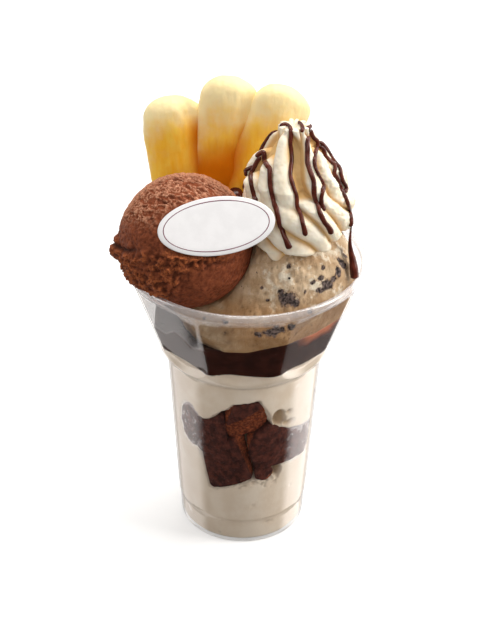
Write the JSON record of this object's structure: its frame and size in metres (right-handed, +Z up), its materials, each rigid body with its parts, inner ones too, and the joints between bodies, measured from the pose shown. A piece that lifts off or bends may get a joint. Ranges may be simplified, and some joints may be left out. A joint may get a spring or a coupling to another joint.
{
  "type": "ice cream sundae",
  "caption": "Layered ice cream sundae in a clear panelled cup, with brownie cubes, fudge, scoops, a piped cream swirl with sauce, banana pieces and a bare oval tag.",
  "frame": {"origin": "centre of the cup's flat foot, on the surface it stands on", "axes": "+Z up along the cup's axis, -Y towards the viewer of the picture, +X to the viewer's right"},
  "size_m": [0.1021, 0.098, 0.1967],
  "materials": {
    "clear_plastic": "clear, thin and glossy",
    "whipped_cream": "soft ivory cream",
    "fudge_sauce": "dark and glossy",
    "brownie_crumb": "dark porous crumb",
    "chocolate_ice_cream": "frosty brown ice cream",
    "cookie_ice_cream": "beige ice cream with dark specks",
    "banana_flesh": "moist yellow flesh",
    "white_card": "smooth white card"
  },
  "bodies": {
    "root": {"cup": "clear_plastic", "cream_lower": "whipped_cream", "cream_upper": "whipped_cream", "fudge": "fudge_sauce", "brownie_front_top": "brownie_crumb", "brownie_front_low": "brownie_crumb", "brownie_front_left": "brownie_crumb", "brownie_front_right": "brownie_crumb", "brownie_low_right": "brownie_crumb", "brownie_right": "brownie_crumb", "brownie_back_right": "brownie_crumb", "brownie_back": "brownie_crumb", "brownie_back_left": "brownie_crumb", "brownie_left": "brownie_crumb", "chocolate_scoop": "chocolate_ice_cream", "cookie_scoop": "cookie_ice_cream", "whipped_swirl": "whipped_cream", "banana_left": "banana_flesh", "banana_middle": "banana_flesh", "banana_right": "banana_flesh", "oval_tag": "white_card"}
  },
  "joints": []
}
